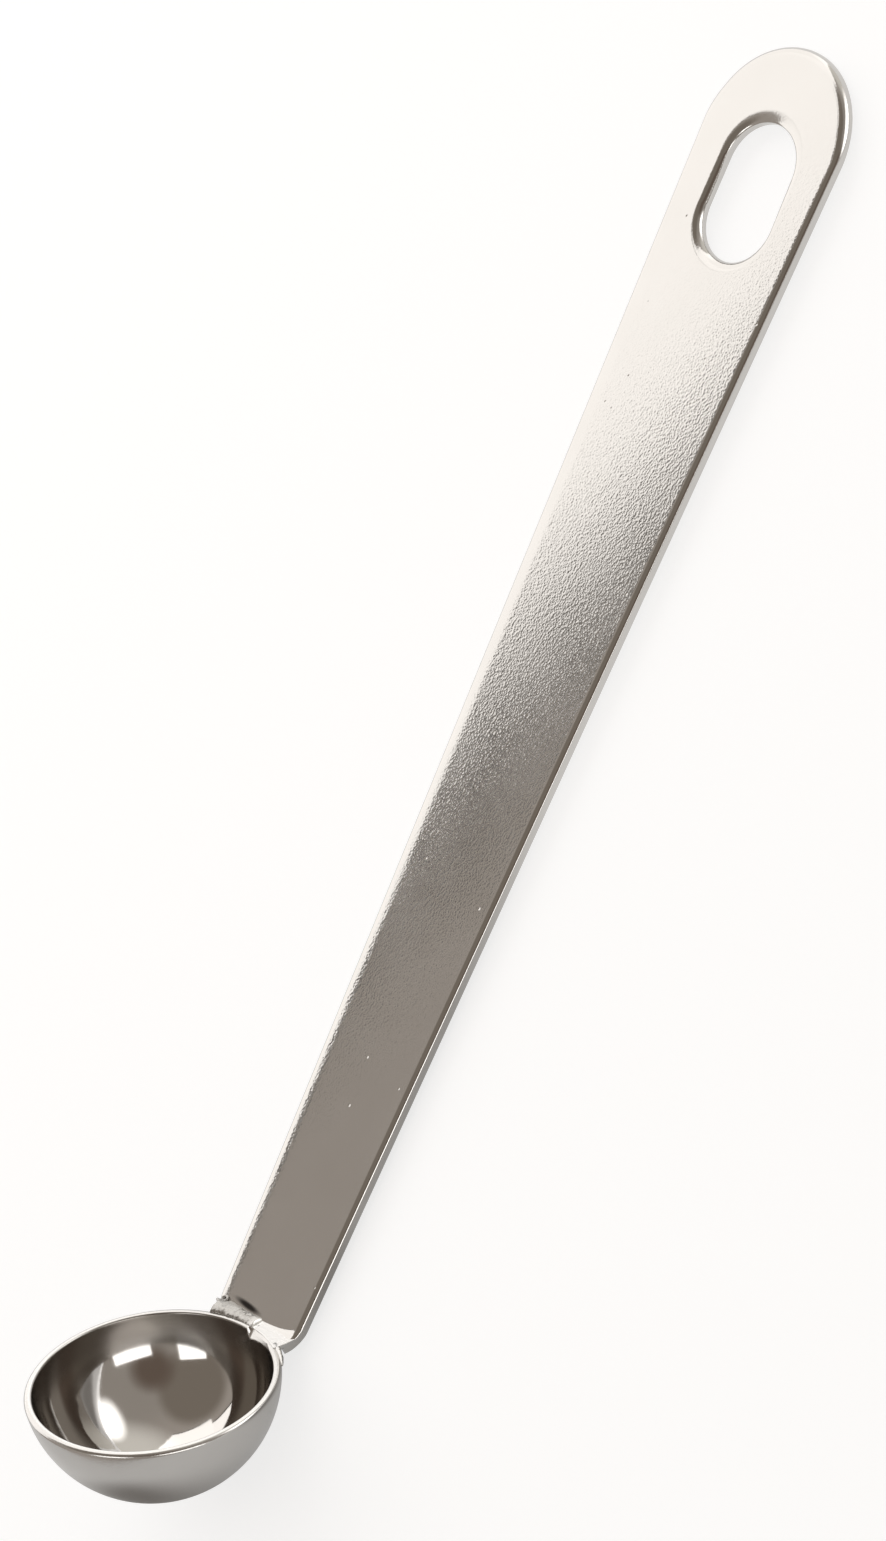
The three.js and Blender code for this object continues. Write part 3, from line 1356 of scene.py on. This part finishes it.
    def _between(self, arc: Socket, share: object) -> Socket:
        """Moves an arc of the rim out by a share of the room between the rim and the fold.

        Args:
            arc: The arc.
            share: The share.

        Returns:
            The path.
        """
        part = self.over(self.times(self._room(), share), self.given["Rim Radius"])
        moved = self._scaled(self._place(), self.plus(part, 1.0))
        return self._upright(self._moved(arc, Position=moved))

    def _ground(self) -> Socket:
        """A share that rises from the half left as welded to the half ground flush."""
        return self.spread(self._parts()["Y"], *self.GROUND_SPAN, 0.0, 1.0)

    def _swept(self, path: Socket, height: object, scale: Socket) -> Socket:
        """Sweeps an oval along a path.

        Args:
            path: The path.
            height: The oval's height against its width.
            scale: Its width at each point of the path.

        Returns:
            The swept mesh, with closed ends.
        """
        oval = self._turned(self._ring(self.OVAL_POINTS, 0.5), Scale=self._vector(1.0, height, 1.0))
        inputs = {"Curve": path, "Profile Curve": oval, "Scale": scale, "Fill Caps": True}
        return self.node("GeometryNodeCurveToMesh", inputs).outputs["Mesh"]

    def _uneven(self, mesh: Socket, amount: object, size: float) -> Socket:
        """Pushes a mesh in and out along its normals.

        Args:
            mesh: The mesh.
            amount: How far.
            size: The size of the lumps in metres.

        Returns:
            The uneven mesh.
        """
        inputs = {"W": self.given["Seed"], "Scale": 1.0 / size, "Detail": self.LUMP_DETAIL}
        lumps = self.node("ShaderNodeTexNoise", inputs, noise_dimensions="4D").outputs["Fac"]
        push = self.times(self.less(lumps, 0.5), amount)
        normal = self.node("GeometryNodeInputNormal").outputs["Normal"]
        return self._moved(mesh, Offset=self._scaled(normal, push))

    def _rounded_ends(self, sharpness: float) -> Socket:
        """A share that rises from nothing at both ends of a path.

        Args:
            sharpness: How soon it rises.

        Returns:
            The share.
        """
        run = self._run("Factor")
        ends = self.times(run, self.less(1.0, run))
        return self.math("SQRT", self.math("MINIMUM", self.times(ends, sharpness), 1.0))

    def _fill(self) -> Socket:
        """The weld metal between the rim and the fold, lumpy on one half and ground flat on the other.

        Returns:
            The fill's mesh.
        """
        half = self.given["Half Angle"]
        path = self._between(self._arc(self.times(half, -1.0), self.times(half, self.FILL_SWEEP)), 0.5)
        flat = self.over(self.given["Fill Thickness"], self.given["Rim Radius"])
        width = self.plus(self._room(), self.FILL_OVERLAP)
        scale = self.times(width, self._rounded_ends(self.FILL_ENDS))
        mesh = self._swept(path, self.times(flat, self.FILL_HEIGHT), scale)
        left = self.less(1.0, self._ground())
        rough = self.math("MULTIPLY_ADD", left, self.given["Unevenness"], self.FILL_GRAIN)
        return self._uneven(mesh, rough, self.FILL_LUMPS)

    def _ground_flush(self, weld: Socket) -> Socket:
        """Takes one half of the weld down to the rim, and marks it as ground.

        Args:
            weld: The weld's mesh.

        Returns:
            The ground mesh.
        """
        parts = self._parts()
        left = self.less(1.0, self._ground())
        top = self.math("MULTIPLY_ADD", left, self.WELDED_TOP, self.GROUND_TOP)
        lowered = self._vector(parts["X"], parts["Y"], self.math("MINIMUM", parts["Z"], top))
        inputs = {"Geometry": self._moved(weld, Position=lowered), "Name": "ground", "Value": self._ground()}
        marked = self.node("GeometryNodeStoreNamedAttribute", inputs, data_type="FLOAT", domain="POINT")
        return marked.outputs["Geometry"]

    def _bead(self) -> Socket:
        """The rippled bead along the fold, over the half that was left as welded.

        Returns:
            The bead's mesh.
        """
        share = self.spread(self._parts()["Y"], *self.BEAD_SPAN, *self.BEAD_SHARES, step="LINEAR")
        sweep = self.plus(self.given["Half Angle"], self.BEAD_LEAD)
        path = self._between(self._arc(-self.BEAD_LEAD, sweep), share)
        wave = self.times(self.over(self._run("Length"), self.given["Ripple Pitch"]), math.pi)
        crest = self.math("ABSOLUTE", self.math("SINE", wave))
        lost = self.times(self.less(1.0, crest), self.given["Ripple Depth"])
        full = self.times(self.less(1.0, lost), self._rounded_ends(self.BEAD_ENDS))
        mesh = self._swept(path, self.given["Bead Crown"], self.times(self.given["Bead Width"], full))
        return self._uneven(mesh, self.given["Unevenness"], self.BEAD_LUMPS)

    def _crater(self) -> Socket:
        """The small ring round the crater where the bead was started, in the corner of the fold.

        Returns:
            The ring's mesh.
        """
        radius, reach = self.given["Crater Radius"], self.given["Fold Reach"]
        thick = self.times(radius, self.CRATER_THICKNESS)
        ring = self._swept(self._ring(self.CRATER_POINTS, radius), 1.0, thick)
        out = self.plus(reach, self.CRATER_OUT)
        corner = self.times(reach, self.math("TANGENT", self.given["Half Angle"]))
        place = self._vector(out, self.times(corner, self.CRATER_ASIDE), self.CRATER_RISE)
        moved = self._turned(ring, Translation=place, Rotation=(0.0, self.CRATER_TILT, 0.0))
        uneven = self.times(self.given["Unevenness"], self.CRATER_UNEVEN)
        return self._uneven(moved, uneven, self.CRATER_LUMPS)

    def _tail(self) -> Socket:
        """The thin tail of weld that runs on along the bowl's wall under the rim.

        Returns:
            The tail's mesh.
        """
        angle, radius = self.given["Tail Angle"], self.given["Tail Radius"]
        start = self.times(self.plus(self.given["Half Angle"], angle), -1.0)
        path = self._upright(self._arc(start, self.plus(angle, self.TAIL_OVERLAP)))
        full = self.times(self.math("SQRT", self._run("Factor")), self._rounded_ends(self.TAIL_ENDS))
        mesh = self._swept(path, self.TAIL_HEIGHT, self.times(self.times(radius, 2.0), full))
        moved = self._turned(mesh, Translation=self._vector(0.0, 0.0, self.times(radius, -1.0)))
        uneven = self.times(self.given["Unevenness"], self.TAIL_UNEVEN)
        return self._uneven(moved, uneven, self.TAIL_LUMPS)

    def _build(self) -> None:
        """Joins the weld's parts, realizes them and gives them their finish."""
        joined = self.tree.nodes.new("GeometryNodeJoinGeometry")
        for part in (self._tail(), self._crater(), self._bead(), self._fill()):
            self.tree.links.new(part, joined.inputs["Geometry"])
        flush = self._ground_flush(joined.outputs["Geometry"])
        smooth = self.node("GeometryNodeSetShadeSmooth", {"Geometry": flush}).outputs["Geometry"]
        real = self.node("GeometryNodeRealizeInstances", {"Geometry": smooth}).outputs["Geometry"]
        painted = self.node("GeometryNodeSetMaterial", {"Geometry": real, "Material": self.given["Material"]})
        result = self.tree.nodes.new("NodeGroupOutput")
        self.tree.links.new(painted.outputs["Geometry"], result.inputs["Geometry"])

    def apply(self, name: str) -> bpy.types.Object:
        """Runs the tree and keeps its result as a plain mesh.

        Args:
            name: The object's name.

        Returns:
            The object, without its modifier.
        """
        made = link(bpy.data.objects.new(name, bpy.data.meshes.new(name + "_seed")))
        modifier = made.modifiers.new("weld", "NODES")
        modifier.node_group = self.tree
        for label, value in self.values.items():
            modifier[self.sockets[label]] = value
        graph = bpy.context.evaluated_depsgraph_get()
        mesh = bpy.data.meshes.new_from_object(made.evaluated_get(graph), depsgraph=graph)
        made.modifiers.remove(modifier)
        made.data = mesh
        mesh.name = name
        return made


@dataclass
class Weld:
    """The weld between the tab and the bowl: a rippled bead on one half, ground flush on the other."""

    sizes: LadleSizes
    finish: WeldSteel = field(default_factory=WeldSteel)
    fill_thickness: float = 0.5 * MM
    bead_width: float = 0.95 * MM
    bead_crown: float = 0.9
    ripple_pitch: float = 0.9 * MM
    ripple_depth: float = 0.2
    unevenness: float = 0.3 * MM
    crater_radius: float = 0.34 * MM
    tail_angle: float = math.radians(14.0)
    tail_radius: float = 0.45 * MM
    seed: float = 3.0

    def build(self, material: bpy.types.Material) -> bpy.types.Object:
        """Lays the weld along the rim.

        Args:
            material: The weld's finish.

        Returns:
            The weld, in place.
        """
        s = self.sizes
        values = {
            "Rim Radius": s.rim_radius,
            "Fold Reach": s.fold_x,
            "Half Angle": math.asin(s.seam_half / s.seam_radius),
            "Fill Thickness": self.fill_thickness,
            "Bead Width": self.bead_width,
            "Bead Crown": self.bead_crown,
            "Ripple Pitch": self.ripple_pitch,
            "Ripple Depth": self.ripple_depth,
            "Unevenness": self.unevenness,
            "Crater Radius": self.crater_radius,
            "Tail Angle": self.tail_angle,
            "Tail Radius": self.tail_radius,
            "Seed": self.seed,
            "Material": material,
        }
        piece = WeldTree("weld", values).apply("weld_rippled")
        piece.data.transform(s.rim_frame)
        return piece

    def make(self) -> bpy.types.Object:
        """Builds and dresses the weld.

        Returns:
            The weld.
        """
        material = self.finish.material()
        piece = self.build(material)
        dress(piece, material, Node.WELD)
        return piece


def bearing(side: float, rise: float) -> Vector:
    """A way in space.

    Args:
        side: Degrees from the front, -Y, towards +X.
        rise: Degrees above the level.

    Returns:
        The way, of length 1.
    """
    turn, lift = math.radians(side), math.radians(rise)
    return Vector((math.sin(turn) * math.cos(lift), -math.cos(turn) * math.cos(lift), math.sin(lift)))


def facing(centre: Vector, aim: Vector, turn: float = 0.0) -> Matrix:
    """The place of a lamp or card that faces a point, with its own Y axis upwards or turned from there."""
    upright = (aim - centre).to_track_quat("-Z", "Y").to_matrix().to_4x4()
    return Matrix.Translation(centre) @ upright @ Matrix.Rotation(turn, 4, "Z")


@dataclass(frozen=True)
class Panel:
    """A soft light panel that the steel mirrors."""

    name: str
    centre: Vector
    aim: Vector
    width: float
    height: float
    radiance: float
    turn: float = 0.0
    seen_in_steel: bool = True
    lights_floor: bool = False

    def make(self) -> bpy.types.Object:
        """Adds the panel as an area light that the camera doesn't see.

        Returns:
            The panel.
        """
        lamp = bpy.data.lights.new(self.name, "AREA")
        lamp.shape = "RECTANGLE"
        lamp.size = self.width
        lamp.size_y = self.height
        lamp.energy = self.radiance * math.pi * self.width * self.height
        made = link(bpy.data.objects.new(self.name, lamp))
        made.matrix_world = facing(self.centre, self.aim, self.turn)
        made.visible_camera = False
        made.visible_glossy = self.seen_in_steel
        made.visible_diffuse = self.lights_floor
        return made


@dataclass(frozen=True)
class SoftCard:
    """A card that glows most in its middle and fades towards its edges, seen in the steel alone."""

    name: str
    centre: Vector
    aim: Vector
    width: float
    height: float
    radiance: float
    core: float
    mirror_limit: float = 1.5

    def make(self) -> bpy.types.Object:
        """Adds the card, which shows at the first mirroring and not in a mirror's mirror.

        Returns:
            The card.
        """
        material = new_material(self.name)
        graph = ShaderGraph(material.node_tree)
        gone = graph.away(Vector(), (2 / self.width, 2 / self.height, 0.0))
        mirrored = graph.node("ShaderNodeLightPath").outputs["Glossy Depth"]
        first = graph.math("LESS_THAN", mirrored, self.mirror_limit)
        fading = graph.spread(gone, self.core, 1.0, self.radiance, 0.0)
        graph.glow_over(graph.times(fading, first), graph.node("ShaderNodeBsdfTransparent"))
        corners = oblong(self.width, self.height)
        return sheet(self.name, corners, material, facing(self.centre, self.aim), tuple(Ray))


@dataclass
class Studio:
    """A pale floor, soft light and the camera at the photograph's angle."""

    sizes: LadleSizes
    floor_size: float = 12.0
    floor_colour: Colour = (0.4, 0.4, 0.4)
    glow_to_camera: float = 0.73
    glow_past_wall: float = 0.9
    foot_width: float = 1.0 * MM
    glow_to_steel: float = 0.45
    shade_from_bowl: Vector = field(default_factory=lambda: Vector((-29.0, 3.0, 0.0)) * MM)
    shade_reach: Point2 = (40.0 * MM, 22.0 * MM)
    shade_fade: Point2 = (0.1, 1.15)
    joint_shade_from_bowl: Vector = field(default_factory=lambda: Vector((38.0, -24.0, 0.0)) * MM)
    joint_shade_reach: Point2 = (15.0 * MM, 45.0 * MM)
    handle_glow: float = 0.3
    handle_reach: Point2 = (1.5 * MM, 8.0 * MM)
    handle_from: Point2 = (-62.0 * MM, -50.0 * MM)
    far_glow: float = 0.9
    far_from: Point2 = (-20.0 * MM, 120.0 * MM)
    far_reach: Point2 = (10.0 * MM, 60.0 * MM)
    behind_glow: float = 0.5
    behind_from: Point2 = (15.0 * MM, 45.0 * MM)
    behind_reach: Point2 = (-85.0 * MM, -65.0 * MM)
    room_behind: Colour = (0.46, 0.415, 0.375)
    room_before: Colour = (0.39, 0.355, 0.32)
    room_above: Colour = (0.255, 0.22, 0.185)
    room_right: Colour = (0.88, 0.85, 0.79)
    room_shade: Colour = (0.17, 0.13, 0.105)
    behind_span: Point2 = (-0.45, 0.25)
    right_bearing: Point2 = (98.0, 10.0)
    right_span: Point2 = (38.0, 3.0)
    above_span: Point2 = (40.0, 27.0)
    shade_span: Point2 = (27.0, 8.0)
    wall_facing: float = math.radians(153.4)
    wall_distance: float = 450.0 * MM
    wall_height: float = 531.0 * MM
    wall_ends: tuple[float, float, float] = (-760.0 * MM, -85.0 * MM, 440.0 * MM)
    wall_radiances: tuple[float, float, float] = (1.18, 1.15, 1.25)
    high_wall: float = 640.0 * MM
    rail_height: float = 22.0 * MM
    rail_colour: Colour = (0.055, 0.05, 0.045)
    rail_roughness: float = 0.9
    top_place: Vector = field(default_factory=lambda: Vector((0.2, -0.1, 1.3)))
    top_size: Point2 = (1.2, 1.2)
    top_radiance: float = 0.5
    bowl_middle: float = 12.0 * MM
    window_distance: float = 0.65
    window_radiance: float = 2.2
    front_bearing: Point2 = (-7.7, 20.1)
    front_size: Point2 = (0.43, 0.25)
    front_turn: float = math.radians(-47.8)
    left_bearing: Point2 = (-69.0, 57.0)
    left_size: Point2 = (0.31, 0.21)
    card_bearing: Point2 = (64.0, 4.0)
    card_distance: float = 0.3
    card_size: Point2 = (0.27, 0.19)
    card_radiance: float = 2.4
    card_core: float = 0.35
    azimuth: float = math.radians(3.13)
    elevation: float = math.radians(46.41)
    roll: float = math.radians(68.81)
    distance: float = 1385.1 * MM
    target: Vector = field(default_factory=lambda: Vector((-0.94, 7.54, 2.33)) * MM)
    lens: float = 280.337
    sensor: float = 36.0
    far_limit: float = 100.0

    @property
    def camera_way(self) -> Vector:
        """The way from the ladle to the camera."""
        return bearing(math.degrees(self.azimuth), math.degrees(self.elevation))

    @property
    def wall_way(self) -> Vector:
        """The way from the ladle to the bright wall behind it."""
        return bearing(math.degrees(self.wall_facing), 0.0)

    def _floor_in_steel(self, graph: ShaderGraph) -> Socket:
        """How bright the steel mirrors the floor: dim by the bowl and the joint, bright beside and behind.

        Args:
            graph: The floor's shader.

        Returns:
            The brightness.
        """
        s = self.sizes
        slope = (s.end_width - s.root_width) / 2 / s.handle_length
        half = s.root_width / 2 - s.handle_start * slope
        ahead = graph.along(Vector((1.0, 0.0, 0.0)))
        back = graph.along(Vector((0.0, 1.0, 0.0)))
        aside = graph.away(Vector(), (0.0, 1.0, 0.0))
        beyond = graph.less(aside, graph.math("MULTIPLY_ADD", ahead, slope, half))
        weights = (1 / self.shade_reach[0], 1 / self.shade_reach[1], 0.0)
        by_bowl = graph.away(s.bowl_rest + self.shade_from_bowl, weights)
        by_joint = graph.away(s.bowl_rest + self.joint_shade_from_bowl)
        glows = (
            (by_bowl, self.shade_fade, 0.0, self.glow_to_steel, by_joint, self.joint_shade_reach),
            (beyond, self.handle_reach, self.handle_glow, 0.0, ahead, self.handle_from),
            (ahead, self.far_from, 0.0, self.far_glow, beyond, self.far_reach),
            (back, self.behind_from, 0.0, self.behind_glow, ahead, self.behind_reach),
        )
        open_floor, by_handle, far, behind = (
            graph.times(graph.spread(run, *span, low, high), graph.spread(other, *rise, 0.0, 1.0))
            for run, span, low, high, other, rise in glows
        )
        beside = graph.plus(open_floor, by_handle)
        return graph.plus(beside, graph.math("MAXIMUM", far, behind))

    def floor(self) -> bpy.types.Object:
        """Adds the floor: pale, a little self-lit so that it reads as white, with the ladle's shadow.

        Returns:
            The floor.
        """
        material = new_material("pale_floor")
        graph = ShaderGraph(material.node_tree)
        matt = graph.node("ShaderNodeBsdfDiffuse", {"Color": (*self.floor_colour, 1.0)})
        path = graph.node("ShaderNodeLightPath").outputs
        to_steel = graph.times(path["Is Glossy Ray"], self._floor_in_steel(graph))
        foot = (self.wall_distance - self.foot_width, self.wall_distance)
        white = graph.spread(graph.along(self.wall_way), *foot, self.glow_to_camera, self.glow_past_wall)
        to_camera = graph.times(path["Is Camera Ray"], white)
        graph.glow_over(graph.plus(to_camera, to_steel), matt)
        return sheet("floor", oblong(self.floor_size, self.floor_size), material)

    def room(self) -> None:
        """Adds the room's glow: dimmer above and about the camera, brighter to the right."""
        world = bpy.data.worlds.new("room")
        bpy.context.scene.world = world
        world.use_nodes = True
        graph = ShaderGraph(world.node_tree, "Generated")

        def near(way: Vector, span: Point2) -> Socket:
            """A share that rises from the first to the second of two angles from a way."""
            ends = [math.cos(math.radians(angle)) for angle in span]
            return graph.spread(graph.along(way), *ends, 0.0, 1.0)

        behind = graph.spread(graph.along(Vector((0.0, 1.0, 0.0))), *self.behind_span, 0.0, 1.0)
        glow = graph.mix(behind, self.room_before, self.room_behind)
        glow = graph.mix(near(bearing(*self.right_bearing), self.right_span), glow, self.room_right)
        glow = graph.mix(near(Vector((0.0, 0.0, 1.0)), self.above_span), glow, self.room_above)
        glow = graph.mix(near(self.camera_way, self.shade_span), glow, self.room_shade)
        graph.surface(graph.node("ShaderNodeBackground", {"Color": glow}), "ShaderNodeOutputWorld")

    def rail(self, name: str, corners: list[Vector]) -> bpy.types.Object:
        """Adds a dark rail over a bright wall, which the steel mirrors as a thin shade.

        Args:
            name: The rail's name.
            corners: Its corners in turn.

        Returns:
            The rail.
        """
        material = new_material(name)
        shader = material.node_tree.nodes["Principled BSDF"]
        shader.inputs["Base Color"].default_value = (*self.rail_colour, 1.0)
        shader.inputs["Roughness"].default_value = self.rail_roughness
        return sheet(name, corners, material, hidden_from=(Ray.CAMERA,))

    def walls(self) -> None:
        """Adds the bright wall behind the ladle in three parts, with a rail along its top."""
        away = self.wall_way
        along = Vector((away.y, -away.x, 0.0))
        left, middle, right = self.wall_ends
        half = self.high_wall / 2
        parts = (
            ("wall_left", left, middle, 0.0, self.wall_height),
            ("wall_low", middle, right, 0.0, half),
            ("wall_high", middle, right, half, self.high_wall),
        )

        def spot(side: float, height: float) -> Vector:
            """A point of the wall."""
            return away * self.wall_distance + along * side + Vector((0.0, 0.0, height))

        for (name, start, end, low, high), radiance in zip(parts, self.wall_radiances):
            centre = spot((start + end) / 2, (low + high) / 2)
            Panel(name, centre, centre - away, end - start, high - low, radiance, lights_floor=True).make()
            if high > half:
                top = high + self.rail_height
                corners = [spot(start, high), spot(end, high), spot(end, top), spot(start, top)]
                self.rail(name + "_rail", corners)

    def light(self) -> None:
        """Adds the windows, the low card and a soft light from above."""
        bowl = self.sizes.bowl_rest + Vector((0.0, 0.0, self.bowl_middle))
        front = bowl + bearing(*self.front_bearing) * self.window_distance
        left = bowl + bearing(*self.left_bearing) * self.window_distance
        low = bowl + bearing(*self.card_bearing) * self.card_distance
        top = (self.top_place, Vector(), *self.top_size, self.top_radiance)
        lamps = (
            Panel("top_light", *top, seen_in_steel=False, lights_floor=True),
            Panel("front_window", front, bowl, *self.front_size, self.window_radiance, self.front_turn),
            Panel("left_window", left, bowl, *self.left_size, self.window_radiance),
            SoftCard("low_card", low, bowl, *self.card_size, self.card_radiance, self.card_core),
        )
        for lamp in lamps:
            lamp.make()

    def camera(self) -> bpy.types.Object:
        """Adds the camera and makes it the scene's.

        Returns:
            The camera.
        """
        away = self.camera_way
        forward = -away
        level = forward.cross(Vector((0.0, 0.0, 1.0))).normalized()
        upright = level.cross(forward)
        up = upright * math.cos(self.roll) + level * math.sin(self.roll)
        right = forward.cross(up)
        data = bpy.data.cameras.new("camera")
        data.lens = self.lens
        data.sensor_width = self.sensor
        data.sensor_fit = "AUTO"
        data.clip_end = self.far_limit
        made = link(bpy.data.objects.new("camera", data))
        turn = Matrix((right, up, away)).transposed().to_4x4()
        made.matrix_world = Matrix.Translation(self.target + away * self.distance) @ turn
        bpy.context.scene.camera = made
        return made

    def make(self) -> None:
        """Builds the studio."""
        bpy.context.scene.view_settings.view_transform = "Standard"
        self.floor()
        self.room()
        self.walls()
        self.light()
        self.camera()


def main() -> None:
    """Builds the ladle's pieces and the studio."""
    logging.basicConfig(level=logging.INFO, format="%(name)s %(message)s")
    sizes = LadleSizes()
    for part in (Bowl(sizes), Handle(sizes), Weld(sizes)):
        piece = part.make()
        LOG.info("%s: %d faces", piece.name, len(piece.data.polygons))
    Studio(sizes).make()


if __name__ == "__main__":
    main()
